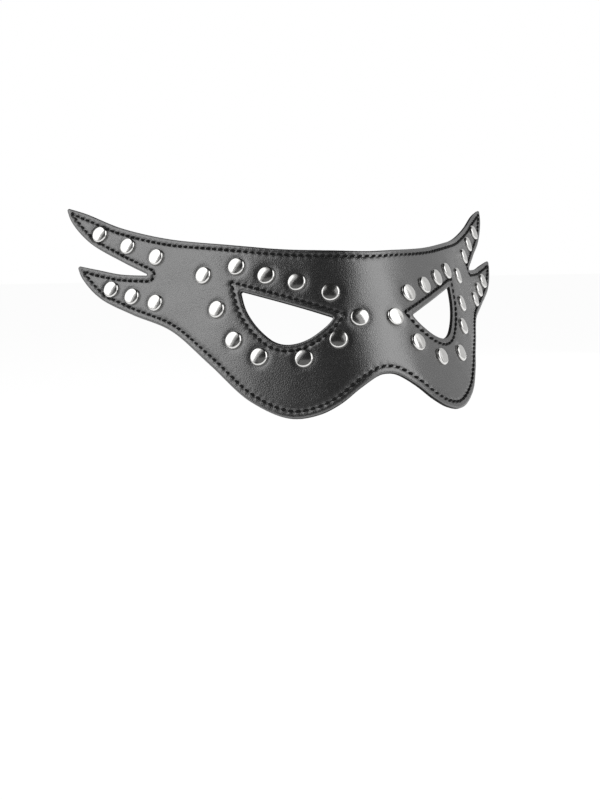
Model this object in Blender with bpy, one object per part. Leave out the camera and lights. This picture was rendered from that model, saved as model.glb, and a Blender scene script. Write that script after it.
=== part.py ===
"""Cat-eye mask of black faux leather: two layers bent round the brow, 34 domed rivets.

Metres, +Z up. The front faces -Y and the wearer's left is +X. The origin is on the inner
face of the lining, at the bridge of the nose. The leather is laid out flat as a pattern,
half of it in tables, and then bent about straight rulings, as a real sheet bends.
In the flat pattern x runs out from the centre line and y runs up from the nose line.
"""

import math

import bmesh
import bpy
from mathutils import Matrix, Vector

# Flat pattern of the leather
HALF_LENGTH = 0.148  # centre line to the tip of the upper prong
WING_RISE = 0.099  # nose line up to the tip of the upper prong
CHEEK_DROP = 0.0395  # nose line down to the lowest point of the cheek
TIP_ROUND = 0.0009  # radius of the prong tips
NOTCH_ROUND = 0.0012  # radius at the foot of the notch between the prongs

# Eye hole
EYE_FROM_CENTRE = 0.0192  # centre line to the inner corner
EYE_LEVEL = 0.0018  # nose line up to the inner corner
EYE_LENGTH = 0.0404  # inner corner to outer corner, across
EYE_HEIGHT = 0.0313  # lowest point to outer corner
EYE_CORNER_ROUND = 0.0009

# Leather layers
FACE_THICK = 0.0011
LINING_THICK = 0.0006
LAYER_GAP = 0.0003
LINING_RIM = 0.0002  # how far the lining stands into the eye hole

# Bend of the worn mask
WING_TURN = math.radians(47)  # the most that a wing turns back from the nose
RULING_FAN = math.radians(-4)  # outward lean of a ruling that is HALF_LENGTH out
TILT_BACK = math.radians(26)  # the brow lies further back than the cheeks

# Rivets
RIVET_DIAMETER = 0.008
RIVET_DOME = 0.0005  # height of the dome above its rim
RIVET_RIM = 0.0005
POST_DIAMETER = 0.003
POST_CLEARANCE = 0.0003  # round the post, and under the cap

# Fineness of the mesh
RULING_STEP = 0.0062
OUTLINE_STEP = 0.0055
CORNER_FACETS = 3
CORNER_SHARE = 0.45  # the most of an edge that a rounded corner may take
RIVET_SIDES = 12
DOME_RINGS = 2
HOLE_SIDES = 8
FRAME_STEP = 0.001
BEND_ROUNDS = 20  # repeats that find the ruling through a point
CUT_SNAP = 0.0001
MERGE = 0.00001
FLAT_ANGLE = math.radians(1)
LEATHER_CREASE = math.radians(30)  # edges sharper than this are shaded as creases
RIVET_CREASE = math.radians(40)

# Edges of the half pattern, each a smooth run between two corners. A row holds the share
# of HALF_LENGTH out from the centre line and the height above the nose line: a share of
# WING_RISE, or of CHEEK_DROP where it is negative.
BROW_EDGE = [
    # out, up
    (0.000, 0.311),
    (0.105, 0.330),
    (0.250, 0.388),
    (0.407, 0.480),
    (0.615, 0.623),
    (0.803, 0.789),
    (0.930, 0.933),
    (1.000, 1.000),
]
UPPER_PRONG_EDGE = [
    (1.000, 1.000),
    (0.986, 0.914),
    (0.928, 0.774),
    (0.819, 0.620),
    (0.716, 0.490),
]
LOWER_PRONG_TOP = [
    (0.716, 0.490),
    (0.825, 0.552),
    (0.900, 0.610),
    (0.982, 0.673),
]
CHEEK_EDGE = [
    (0.982, 0.673),
    (0.970, 0.602),
    (0.913, 0.470),
    (0.806, 0.337),
    (0.662, 0.180),
    (0.535, -0.125),
    (0.418, -0.677),
    (0.308, -0.963),
    (0.222, -0.995),
    (0.155, -0.926),
    (0.090, -0.790),
    (0.026, -0.671),
    (0.000, -0.658),
]

# Eye hole: shares of EYE_LENGTH and EYE_HEIGHT from its inner corner. The upper edge is
# straight, and this is the lower edge.
EYE_LOWER_EDGE = [
    # out, up
    (1.000, 0.740),
    (0.975, 0.462),
    (0.912, 0.240),
    (0.817, 0.033),
    (0.694, -0.149),
    (0.568, -0.237),
    (0.437, -0.259),
    (0.300, -0.231),
    (0.180, -0.166),
    (0.075, -0.086),
    (0.000, 0.000),
]

# Rivets round the eye: shares of EYE_LENGTH and EYE_HEIGHT from the inner corner. They
# are set by hand, so those on the wearer's left sit a little higher or lower.
EYE_RIVETS = [
    # out, up on the right, up on the left
    (-0.267, -0.061, -0.066),
    (-0.006, 0.366, 0.330),
    (0.336, 0.623, 0.537),
    (0.662, 0.840, 0.757),
    (0.989, 1.106, 0.984),
    (1.419, 1.155, 1.078),
    (1.304, 0.570, 0.558),
    (1.150, 0.035, 0.123),
    (0.882, -0.312, -0.387),
    (0.393, -0.497, -0.560),
    (-0.004, -0.329, -0.417),
]

# Rivets on the prongs: shares of HALF_LENGTH and WING_RISE.
PRONG_RIVETS = [
    # out, up on the right, up on the left
    (0.683, 0.568, 0.554),
    (0.786, 0.681, 0.679),
    (0.885, 0.795, 0.800),
    (0.707, 0.344, 0.320),
    (0.791, 0.418, 0.413),
    (0.865, 0.491, 0.496),
]

# Bend: how much of WING_TURN the sheet has turned by a share of HALF_LENGTH. Past the
# temple the prongs spring a little outwards again.
BEND = [
    # share out, share of the turn
    (0.00, 0.00),
    (0.11, 0.45),
    (0.22, 0.67),
    (0.36, 0.80),
    (0.51, 0.99),
    (0.66, 1.01),
    (0.91, 0.86),
    (1.10, 0.70),
]


def clear_scene():
    for thing in list(bpy.data.objects):
        bpy.data.objects.remove(thing, do_unlink=True)


def finish(name, colour, roughness, metallic):
    material = bpy.data.materials.new(name)
    material.use_nodes = True
    shader = material.node_tree.nodes["Principled BSDF"]
    shader.inputs["Base Color"].default_value = (*colour, 1.0)
    shader.inputs["Roughness"].default_value = roughness
    shader.inputs["Metallic"].default_value = metallic
    return material


# Curves of the flat pattern

def pattern_point(out, up):
    height = WING_RISE if up > 0 else CHEEK_DROP
    return Vector((out * HALF_LENGTH, up * height))


def eye_point(out, up):
    return Vector((EYE_FROM_CENTRE + out * EYE_LENGTH, EYE_LEVEL + up * EYE_HEIGHT))


def spline_point(before, start, end, after, share):
    """A point between start and end on the smooth curve through all four points."""
    knots = [0.0]
    for one, two in ((before, start), (start, end), (end, after)):
        knots.append(knots[-1] + math.sqrt((two - one).length))
    at = knots[1] + share * (knots[2] - knots[1])

    def between(one, two, low, high):
        return one.lerp(two, (at - knots[low]) / (knots[high] - knots[low]))

    first = between(before, start, 0, 1)
    middle = between(start, end, 1, 2)
    last = between(end, after, 2, 3)
    return between(between(first, middle, 0, 2), between(middle, last, 1, 3), 1, 2)


def smooth_run(points, step, mirror_start=False, mirror_end=False):
    """Points along the smooth curve through a run of points. An end that lies on the
    centre line carries on into its mirror image, so the curve crosses it level."""
    across = Vector((-1.0, 1.0))
    before = points[1] * across if mirror_start else points[0] * 2 - points[1]
    after = points[-2] * across if mirror_end else points[-1] * 2 - points[-2]
    chain = [before, *points, after]
    run = []
    for index in range(1, len(chain) - 2):
        start, end = chain[index], chain[index + 1]
        count = max(1, round((end - start).length / step))
        for part in range(count):
            run.append(spline_point(chain[index - 1], start, end, chain[index + 2], part / count))
    run.append(points[-1].copy())
    return run


def round_corner(before, corner, after, radius):
    """Points of an arc that replaces the corner between two edges."""
    back = (before - corner).normalized()
    ahead = (after - corner).normalized()
    half = back.angle(ahead) / 2
    shorter = min((before - corner).length, (after - corner).length)
    reach = min(radius / math.tan(half), CORNER_SHARE * shorter)
    arc_radius = reach * math.tan(half)
    centre = corner + (back + ahead).normalized() * arc_radius / math.sin(half)
    start = corner + back * reach - centre
    end = corner + ahead * reach - centre
    sweep = start.angle_signed(end)
    arc = []
    for index in range(CORNER_FACETS + 1):
        turn = Matrix.Rotation(-sweep * index / CORNER_FACETS, 2)
        arc.append(centre + turn @ start)
    return arc


def join_runs(runs, radii):
    """One line through runs that meet at corners, each corner rounded to its radius."""
    line = list(runs[0][:-1])
    for run, radius in zip(runs[1:], radii):
        line += round_corner(line[-1], run[0], run[1], radius)
        line += run[1:-1]
    line.append(runs[-1][-1])
    return line


def mask_outline():
    """The whole outline: the half pattern on the right, then its mirror image."""
    brow = smooth_run([pattern_point(*row) for row in BROW_EDGE], OUTLINE_STEP, mirror_start=True)
    upper = smooth_run([pattern_point(*row) for row in UPPER_PRONG_EDGE], OUTLINE_STEP)
    lower = smooth_run([pattern_point(*row) for row in LOWER_PRONG_TOP], OUTLINE_STEP)
    cheek = smooth_run([pattern_point(*row) for row in CHEEK_EDGE], OUTLINE_STEP, mirror_end=True)
    half = join_runs([brow, upper, lower, cheek], [TIP_ROUND, NOTCH_ROUND, TIP_ROUND])
    mirrored = [Vector((-point.x, point.y)) for point in reversed(half[1:-1])]
    return half + mirrored


def eye_hole(rim):
    """The eye hole as a closed loop, made smaller all round by rim."""
    lower = smooth_run([eye_point(*row) for row in EYE_LOWER_EDGE], OUTLINE_STEP)
    inner, outer = lower[-1], lower[0]
    middle = inner.lerp(outer, 0.5)
    loop = round_corner(middle, outer, lower[1], EYE_CORNER_ROUND)
    loop += lower[1:-1]
    loop += round_corner(lower[-2], inner, middle, EYE_CORNER_ROUND)
    count = max(1, round((outer - inner).length / OUTLINE_STEP))
    loop += [inner.lerp(outer, part / count) for part in range(1, count)]
    return shrink(loop, rim)


def shrink(loop, distance):
    """Moves each point of a loop inwards, square to the edges beside it."""
    centre = sum(loop, Vector((0.0, 0.0))) / len(loop)
    moved = []
    for index, point in enumerate(loop):
        along = (loop[(index + 1) % len(loop)] - loop[index - 1]).normalized()
        inward = Vector((-along.y, along.x))
        if inward.dot(centre - point) < 0:
            inward.negate()
        moved.append(point + inward * distance)
    return moved


def rivet_places():
    """Name, side and flat place of every rivet; side is -1 on the wearer's right."""
    places = []
    for side, word, column in ((-1, "right", 1), (1, "left", 2)):
        rows = [eye_point(row[0], row[column]) for row in EYE_RIVETS]
        rows += [pattern_point(row[0], row[column]) for row in PRONG_RIVETS]
        for number, place in enumerate(rows, start=1):
            places.append((f"rivet_{word}_{number:02d}", side, place))
    return places


def post_hole(side, place):
    radius = POST_DIAMETER / 2 + POST_CLEARANCE
    centre = Vector((side * place.x, place.y))
    loop = []
    for index in range(HOLE_SIDES):
        angle = math.tau * (index + 0.5) / HOLE_SIDES
        loop.append(centre + radius * Vector((math.cos(angle), math.sin(angle))))
    return loop


# Bending the flat pattern

def turn_at(distance):
    """How far the sheet has turned back at a distance out along the nose line."""
    share = distance / HALF_LENGTH
    rows = [Vector(row) for row in BEND]
    rows = [rows[1] * -1, *rows, rows[-1] * 2 - rows[-2]]
    for index in range(1, len(rows) - 2):
        if share <= rows[index + 1].x or index == len(rows) - 3:
            break
    low, high = rows[index], rows[index + 1]
    width = high.x - low.x
    slope_low = (high.y - rows[index - 1].y) / (high.x - rows[index - 1].x) * width
    slope_high = (rows[index + 2].y - low.y) / (rows[index + 2].x - low.x) * width
    t = (share - low.x) / width
    turned = (2 * t**3 - 3 * t**2 + 1) * low.y + (t**3 - 2 * t**2 + t) * slope_low
    turned += (3 * t**2 - 2 * t**3) * high.y + (t**3 - t**2) * slope_high
    return WING_TURN * turned


def ruling_lean(distance):
    return RULING_FAN * distance / HALF_LENGTH


def sheet_frames():
    """Frames along the nose line of the bent sheet: place, then the directions out,
    up and forward. Each step turns the frame about the ruling that it crosses."""
    place = Vector((0, 0, 0))
    axes = Matrix(((1, 0, 0), (0, 0, 1), (0, -1, 0))).transposed()
    frames = [(place.copy(), axes.copy())]
    count = math.ceil(BEND[-1][0] * HALF_LENGTH / FRAME_STEP)
    for index in range(count):
        near, far = index * FRAME_STEP, (index + 1) * FRAME_STEP
        lean = ruling_lean((near + far) / 2)
        ruling = axes @ Vector((math.sin(lean), math.cos(lean), 0))
        turn = Matrix.Rotation(turn_at(far) - turn_at(near), 3, ruling)
        place += axes.col[0] * FRAME_STEP / 2
        axes = turn @ axes
        place += axes.col[0] * FRAME_STEP / 2
        frames.append((place.copy(), axes.copy()))
    return frames


FRAMES = sheet_frames()


def bent_frame(out, up):
    """Place and axes of the bent sheet's face at a point of the flat pattern, out > 0."""
    distance = out
    for _ in range(BEND_ROUNDS):
        distance = out - up * math.tan(ruling_lean(distance))
    distance = min(max(distance, 0.0), (len(FRAMES) - 2) * FRAME_STEP)
    index = int(distance / FRAME_STEP)
    share = distance / FRAME_STEP - index
    (place_a, axes_a), (place_b, axes_b) = FRAMES[index], FRAMES[index + 1]
    blend = [one.lerp(two, share).normalized() for one, two in zip(axes_a.col, axes_b.col)]
    axes = Matrix(blend).transposed()
    place = place_a.lerp(place_b, share)
    place += axes.col[0] * (out - distance) + axes.col[1] * up
    return place, axes


def bend(point):
    """Bends a point: x and y in the flat pattern, z out from its face."""
    side = -1.0 if point.x < 0 else 1.0
    place, axes = bent_frame(abs(point.x), point.y)
    place = place + axes.col[2] * point.z
    return Vector((side * place.x, place.y, place.z))


# Pieces

def leather_layer(name, loops, top, thickness, material, seat):
    """A flat sheet with holes, creased along the rulings, given its wall and bent."""
    mesh = bmesh.new()
    edges = []
    for loop in loops:
        corners = [mesh.verts.new((point.x, point.y, 0)) for point in loop]
        for one, two in zip(corners, corners[1:] + corners[:1]):
            edges.append(mesh.edges.new((one, two)))
    bmesh.ops.triangle_fill(mesh, edges=edges, use_beauty=True, normal=(0, 0, 1))
    count = int(HALF_LENGTH / RULING_STEP)
    for distance in [index * RULING_STEP for index in range(-count, count + 1)]:
        lean = ruling_lean(distance)
        cut = bmesh.ops.bisect_plane(
            mesh,
            geom=mesh.verts[:] + mesh.edges[:] + mesh.faces[:],
            dist=CUT_SNAP,
            plane_co=(distance, 0, 0),
            plane_no=(math.cos(lean), -math.sin(lean), 0),
        )
        for item in cut["geom_cut"]:
            if isinstance(item, bmesh.types.BMEdge):
                item.seam = True
    bmesh.ops.dissolve_limit(
        mesh, angle_limit=FLAT_ANGLE, verts=mesh.verts[:], edges=mesh.edges[:], delimit={"SEAM"}
    )
    bmesh.ops.triangulate(mesh, faces=mesh.faces[:])
    bmesh.ops.recalc_face_normals(mesh, faces=mesh.faces[:])
    if mesh.faces[:][0].normal.z > 0:
        bmesh.ops.reverse_faces(mesh, faces=mesh.faces[:])
    wall = bmesh.ops.extrude_face_region(mesh, geom=mesh.faces[:])
    raised = [item for item in wall["geom"] if isinstance(item, bmesh.types.BMVert)]
    for vertex in raised:
        vertex.co.z = thickness
    for vertex in mesh.verts:
        vertex.co.z += top - thickness
        vertex.co = bend(vertex.co)
    bmesh.ops.recalc_face_normals(mesh, faces=mesh.faces[:])
    data = bpy.data.meshes.new(name)
    mesh.to_mesh(data)
    mesh.free()
    data.materials.append(material)
    data.shade_smooth()
    data.set_sharp_from_angle(angle=LEATHER_CREASE)
    piece = bpy.data.objects.new(name, data)
    bpy.context.collection.objects.link(piece)
    piece.parent = seat
    return piece


def rivet_mesh(material):
    """A domed cap with its post in one, the underside of the cap at height 0."""
    radius = RIVET_DIAMETER / 2
    post = POST_DIAMETER / 2
    crown = RIVET_RIM + RIVET_DOME
    ball = (radius**2 + RIVET_DOME**2) / (2 * RIVET_DOME)
    half_angle = math.asin(radius / ball)
    profile = [(0.0, crown)]
    for ring in range(1, DOME_RINGS + 1):
        angle = half_angle * ring / DOME_RINGS
        profile.append((ball * math.sin(angle), crown - ball * (1 - math.cos(angle))))
    post_end = -(POST_CLEARANCE + FACE_THICK)
    profile += [(radius, 0.0), (post, 0.0), (post, post_end), (0.0, post_end)]
    mesh = bmesh.new()
    line = [mesh.verts.new((across, 0, up)) for across, up in profile]
    edges = [mesh.edges.new(pair) for pair in zip(line, line[1:])]
    bmesh.ops.spin(
        mesh,
        geom=line + edges,
        axis=(0, 0, 1),
        cent=(0, 0, 0),
        angle=math.tau,
        steps=RIVET_SIDES,
        use_merge=True,
    )
    bmesh.ops.remove_doubles(mesh, verts=mesh.verts[:], dist=MERGE)
    bmesh.ops.recalc_face_normals(mesh, faces=mesh.faces[:])
    data = bpy.data.meshes.new("rivet")
    mesh.to_mesh(data)
    mesh.free()
    data.materials.append(material)
    data.shade_smooth()
    data.set_sharp_from_angle(angle=RIVET_CREASE)
    return data


def rivet(name, side, place, data, seat):
    """One rivet, seated square on the bent face of the leather."""
    spot, axes = bent_frame(place.x, place.y)
    spot = spot + axes.col[2] * POST_CLEARANCE
    forward, up = axes.col[2].copy(), axes.col[1].copy()
    for direction in (spot, forward, up):
        direction.x *= side
    out = up.cross(forward)
    piece = bpy.data.objects.new(name, data)
    bpy.context.collection.objects.link(piece)
    piece.parent = seat
    piece.location = spot
    piece.rotation_euler = Matrix((out, up, forward)).transposed().to_euler()
    return piece


def build():
    clear_scene()
    leather = finish("black_leather", (0.022, 0.022, 0.024), 0.42, 0.0)
    lining = finish("black_lining", (0.018, 0.018, 0.018), 0.80, 0.0)
    nickel = finish("bright_nickel", (0.78, 0.77, 0.75), 0.16, 1.0)

    # The seat tilts the brow back and puts the lining's inner face on the origin.
    depth = FACE_THICK + LAYER_GAP + LINING_THICK
    seat = bpy.data.objects.new("seat", None)
    bpy.context.collection.objects.link(seat)
    seat.rotation_euler = (-TILT_BACK, 0, 0)
    seat.location = (0, -depth * math.cos(TILT_BACK), depth * math.sin(TILT_BACK))

    places = rivet_places()
    face_loops, lining_loops = [mask_outline()], [mask_outline()]
    for side in (-1, 1):
        face_loops.append([Vector((side * point.x, point.y)) for point in eye_hole(0.0)])
        lining_loops.append([Vector((side * point.x, point.y)) for point in eye_hole(LINING_RIM)])
    face_loops += [post_hole(side, place) for _, side, place in places]
    lining_top = -(FACE_THICK + LAYER_GAP)
    leather_layer("face_leather", face_loops, 0.0, FACE_THICK, leather, seat)
    leather_layer("lining_leather", lining_loops, lining_top, LINING_THICK, lining, seat)

    data = rivet_mesh(nickel)
    for name, side, place in places:
        rivet(name, side, place, data, seat)
    bpy.context.view_layer.update()


build()
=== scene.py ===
# %% [markdown]
# # A cat-eye mask of black faux leather
# The real mask is two layers of faux leather, cut to one outline, stitched together along
# every edge and set with 34 domed nickel rivets. It is bent round the wearer's brow. This
# lesson dresses a plain solid model of it: fine leather with its stitching, polished
# rivets, and soft studio light. The plain model comes first, and fixes all the sizes.

# %% Load the plain model
import math
import random

import bpy
import numpy as np
from mathutils import Matrix, Vector, noise
from mathutils.geometry import delaunay_2d_cdt
from mathutils.kdtree import KDTree


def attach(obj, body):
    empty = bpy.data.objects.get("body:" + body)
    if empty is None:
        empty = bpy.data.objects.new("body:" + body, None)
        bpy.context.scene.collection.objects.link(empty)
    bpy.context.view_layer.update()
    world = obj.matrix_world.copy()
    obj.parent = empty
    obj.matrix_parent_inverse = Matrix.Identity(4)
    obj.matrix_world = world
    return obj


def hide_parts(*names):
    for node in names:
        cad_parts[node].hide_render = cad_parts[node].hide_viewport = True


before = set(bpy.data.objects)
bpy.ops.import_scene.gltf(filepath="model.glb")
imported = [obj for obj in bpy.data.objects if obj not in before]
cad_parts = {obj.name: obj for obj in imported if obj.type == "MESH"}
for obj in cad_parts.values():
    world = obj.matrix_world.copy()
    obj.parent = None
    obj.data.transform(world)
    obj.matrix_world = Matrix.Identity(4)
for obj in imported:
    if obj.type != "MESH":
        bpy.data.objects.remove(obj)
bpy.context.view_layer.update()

# %% [markdown]
# ## The flat pattern
# A leather worker cuts this mask flat and bends it afterwards, so the model is made in the
# same order. Half of the pattern is enough, because the other half is its mirror image.
# Each edge is a smooth run through a few points, given as shares of three main sizes. In
# the pattern x runs out from the centre line, and y runs up from the line of the nose.

# %% Sizes of the pattern, in metres
HALF_LENGTH = 0.148  # centre line to the tip of the upper prong
WING_RISE = 0.099  # nose line up to the tip of the upper prong
CHEEK_DROP = 0.0395  # nose line down to the lowest point of the cheek
TIP_REACH = 0.0020  # how far from a corner its rounding starts
NOTCH_REACH = 0.0022
EYE_FROM_CENTRE = 0.0192
EYE_LEVEL = 0.0018
EYE_LENGTH = 0.0404
EYE_HEIGHT = 0.0313
EYE_INNER_REACH = 0.0013
EYE_OUTER_REACH = 0.0017
LINING_RIM = 0.0002  # how far the lining stands into the eye hole
FACE_THICK = 0.0011
LINING_THICK = 0.0006
LAYER_GAP = 0.0003

BROW_EDGE = [
    (0.000, 0.311), (0.105, 0.330), (0.250, 0.388), (0.407, 0.480),
    (0.615, 0.623), (0.803, 0.789), (0.930, 0.933), (1.000, 1.000),
]
UPPER_PRONG_EDGE = [
    (1.000, 1.000), (0.986, 0.914), (0.928, 0.774), (0.819, 0.620), (0.716, 0.490),
]
LOWER_PRONG_TOP = [(0.716, 0.490), (0.825, 0.552), (0.900, 0.610), (0.982, 0.673)]
CHEEK_EDGE = [
    (0.982, 0.673), (0.970, 0.602), (0.913, 0.470), (0.806, 0.337), (0.662, 0.180),
    (0.535, -0.125), (0.418, -0.677), (0.308, -0.963), (0.222, -0.995), (0.155, -0.926),
    (0.090, -0.790), (0.026, -0.671), (0.000, -0.658),
]
EYE_LOWER_EDGE = [
    (1.000, 0.740), (0.975, 0.462), (0.912, 0.240), (0.817, 0.033), (0.694, -0.149),
    (0.568, -0.237), (0.437, -0.259), (0.300, -0.231), (0.180, -0.166), (0.075, -0.086),
    (0.000, 0.000),
]
print("the half pattern is", HALF_LENGTH, "m long")

# %% [markdown]
# A smooth run needs a curve that passes through its points. The curve used here is a
# Catmull-Rom spline, which takes the two points beside each stretch into account. Corners
# are rounded afterwards by an arc that touches both runs.

# %% Smooth runs and rounded corners
FINE_STEP = 0.0009
CORNER_STEPS = 9


def pattern_point(out, up):
    return Vector((out * HALF_LENGTH, up * (WING_RISE if up > 0 else CHEEK_DROP)))


def eye_point(out, up):
    return Vector((EYE_FROM_CENTRE + out * EYE_LENGTH, EYE_LEVEL + up * EYE_HEIGHT))


def spline_point(before, start, end, after, share):
    knots = [0.0]
    for one, two in ((before, start), (start, end), (end, after)):
        knots.append(knots[-1] + math.sqrt((two - one).length))
    at = knots[1] + share * (knots[2] - knots[1])

    def between(one, two, low, high):
        return one.lerp(two, (at - knots[low]) / (knots[high] - knots[low]))

    first = between(before, start, 0, 1)
    middle = between(start, end, 1, 2)
    last = between(end, after, 2, 3)
    return between(between(first, middle, 0, 2), between(middle, last, 1, 3), 1, 2)


def smooth_run(points, mirror_start=False, mirror_end=False):
    across = Vector((-1.0, 1.0))
    before = points[1] * across if mirror_start else points[0] * 2 - points[1]
    after = points[-2] * across if mirror_end else points[-1] * 2 - points[-2]
    chain = [before, *points, after]
    run = []
    for index in range(1, len(chain) - 2):
        four = chain[index - 1:index + 3]
        count = max(1, round((four[2] - four[1]).length / FINE_STEP))
        run += [spline_point(*four, part / count) for part in range(count)]
    return run + [points[-1].copy()]


def join_runs(runs, reaches):
    """One line through runs that meet at corners. A reach of 0 leaves the corner sharp."""
    line = list(runs[0])
    for run, reach in zip(runs[1:], reaches):
        corner = line.pop()
        if reach == 0:
            line += run
            continue
        while (line[-1] - corner).length < reach:
            line.pop()
        ahead = [point for point in run if (point - corner).length > reach]
        back_way = (line[-1] - corner).normalized()
        ahead_way = (ahead[0] - corner).normalized()
        half = back_way.angle(ahead_way) / 2
        radius = reach * math.tan(half)
        centre = corner + (back_way + ahead_way).normalized() * radius / math.sin(half)
        start = corner + back_way * reach - centre
        sweep = start.angle_signed(corner + ahead_way * reach - centre)
        for step in range(CORNER_STEPS + 1):
            line.append(centre + Matrix.Rotation(-sweep * step / CORNER_STEPS, 2) @ start)
        line += ahead
    return line


def outline(tip_reach, notch_reach):
    runs = [
        smooth_run([pattern_point(*row) for row in BROW_EDGE], mirror_start=True),
        smooth_run([pattern_point(*row) for row in UPPER_PRONG_EDGE]),
        smooth_run([pattern_point(*row) for row in LOWER_PRONG_TOP]),
        smooth_run([pattern_point(*row) for row in CHEEK_EDGE], mirror_end=True),
    ]
    half = join_runs(runs, [tip_reach, notch_reach, tip_reach])
    whole = half + [Vector((-point.x, point.y)) for point in reversed(half[1:-1])]
    return np.array([tuple(point) for point in whole])


def eye_loop(inner_reach, outer_reach):
    """The eye hole of the wearer's left, from the middle of its straight upper edge."""
    lower = smooth_run([eye_point(*row) for row in EYE_LOWER_EDGE])
    inner, outer = lower[-1], lower[0]
    count = round((outer - inner).length / FINE_STEP / 2)
    first = [inner.lerp(outer, 0.5 + 0.5 * part / count) for part in range(count + 1)]
    last = [inner.lerp(outer, 0.5 * part / count) for part in range(count + 1)]
    loop = join_runs([first, lower, last], [outer_reach, inner_reach])[:-1]
    return np.array([tuple(point) for point in loop])


def mirrored(loop):
    return loop[::-1] * (-1.0, 1.0)


EDGE = outline(TIP_REACH, NOTCH_REACH)
EYE = eye_loop(EYE_INNER_REACH, EYE_OUTER_REACH)
print("outline", len(EDGE), "points, eye hole", len(EYE), "points")

# %% [markdown]
# ## Lines beside the edges
# Stitching runs at an even distance from the edge. To find that line, each point of an
# edge moves square to it, into the leather. Near a sharp tip some of them land too close
# to the other side of the tip, so those are dropped.

# %% Inset lines and even spacing
FINE_GAP = 0.0002  # spacing of the points that distances are measured to
MITRE_LIMIT = 0.06
NEAR_SHARE = 0.97


def signed_area(loop):
    x, y = loop.T
    return 0.5 * np.sum(x * np.roll(y, -1) - np.roll(x, -1) * y)


def spaced(loop, step):
    """The closed line with points about a step apart, and how far apart they really are."""
    closed = np.vstack([loop, loop[:1]])
    along = np.concatenate([[0.0], np.cumsum(np.linalg.norm(np.diff(closed, axis=0), axis=1))])
    count = max(8, round(along[-1] / step))
    at = np.arange(count) * along[-1] / count
    points = np.stack([np.interp(at, along, closed[:, axis]) for axis in (0, 1)], axis=1)
    return points, along[-1] / count


def tree_of(points):
    tree = KDTree(len(points))
    for index, point in enumerate(points):
        tree.insert((point[0], point[1], 0.0), index)
    tree.balance()
    return tree


def nearest(tree, points):
    """Distance to the nearest point of a tree and its number, for many points."""
    found = [tree.find((x, y, 0.0)) for x, y in points]
    return np.array([hit[2] for hit in found]), np.array([hit[1] for hit in found])


def inset(loop, distance, hole):
    """The line at a distance from a loop, on the leather's side of it."""
    ahead = np.roll(loop, -1, axis=0) - loop
    ahead /= np.linalg.norm(ahead, axis=1)[:, None]
    side = 1.0 if (signed_area(loop) > 0) != hole else -1.0
    normal = side * np.stack([-ahead[:, 1], ahead[:, 0]], axis=1)
    before = np.roll(normal, 1, axis=0)
    spread = np.maximum(1 + np.sum(normal * before, axis=1), MITRE_LIMIT)
    distance = np.broadcast_to(distance, len(loop))
    moved = loop + (normal + before) * (distance / spread)[:, None]
    clear, _ = nearest(tree_of(spaced(loop, FINE_GAP)[0]), moved)
    return moved[clear > NEAR_SHARE * distance]


# %% [markdown]
# The maker's seam isn't quite even. It runs closer to the edge along the brow and at the
# tips of the prongs and wider along the cheek, and it turns about the foot of the notch.

# %% Seam lines
SEAM_INSET = 0.0028
BROW_INSET = 0.0025
CHEEK_INSET = 0.0031
TIP_INSET = 0.0020
TIP_BLEND = 0.012  # how far from a tip the seam takes on its usual inset
INSET_BLEND = 9  # points over which one inset passes into the next
BROW_END = 0.55  # share of the half length where the brow passes into the wing
CHEEK_TOP = 0.004  # height over the nose line that the cheek reaches up to
NOTCH_SHARP = 0.0004  # the seam turns about the true corner of the notch
STITCH_PITCH = 0.0033

sharp_edge = outline(0, NOTCH_SHARP)
out_share = np.abs(sharp_edge[:, 0]) / HALF_LENGTH
edge_inset = np.where(out_share < BROW_END, BROW_INSET, SEAM_INSET)
edge_inset[sharp_edge[:, 1] < CHEEK_TOP] = CHEEK_INSET
window = 2 * INSET_BLEND + 1
around = np.concatenate([edge_inset[-INSET_BLEND:], edge_inset, edge_inset[:INSET_BLEND]])
edge_inset = np.convolve(around, np.ones(window) / window, mode="valid")
folded = np.stack([np.abs(sharp_edge[:, 0]), sharp_edge[:, 1]], axis=1)
for row in (BROW_EDGE[-1], LOWER_PRONG_TOP[-1]):
    away = np.linalg.norm(folded - np.array(pattern_point(*row)), axis=1)
    at_tip = TIP_INSET + (edge_inset - TIP_INSET) * np.clip(away / TIP_BLEND, 0, 1)
    edge_inset = np.minimum(edge_inset, at_tip)

edge_seam = inset(sharp_edge, edge_inset, hole=False)
eye_seam = inset(eye_loop(0, 0), SEAM_INSET, hole=True)
SEAMS = [edge_seam, eye_seam, mirrored(eye_seam)]
for word, seam in zip(("edge", "left eye", "right eye"), SEAMS):
    places, apart = spaced(seam, FINE_GAP)
    print(f"seam of the {word}: {1000 * apart * len(places):.0f} mm")

# %% [markdown]
# ## Rivet places
# The rivets ring each eye and march out along the prongs. They were set by hand, so those
# on the wearer's left sit a little higher or lower than their partners. Each row gives
# shares of the eye's size, or of the pattern's size, with one height for each side.

# %% Places of the rivets
EYE_RIVETS = [
    # out, up on the right, up on the left
    (-0.267, -0.061, -0.066), (-0.006, 0.366, 0.330), (0.336, 0.623, 0.537),
    (0.662, 0.840, 0.757), (0.989, 1.106, 0.984), (1.419, 1.155, 1.078),
    (1.304, 0.570, 0.558), (1.150, 0.035, 0.123), (0.882, -0.312, -0.387),
    (0.393, -0.497, -0.560), (-0.004, -0.329, -0.417),
]
PRONG_RIVETS = [
    (0.683, 0.568, 0.554), (0.786, 0.681, 0.679), (0.885, 0.795, 0.800),
    (0.707, 0.344, 0.320), (0.791, 0.418, 0.413), (0.865, 0.491, 0.496),
]
RIVET_RADIUS = 0.004

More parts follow.
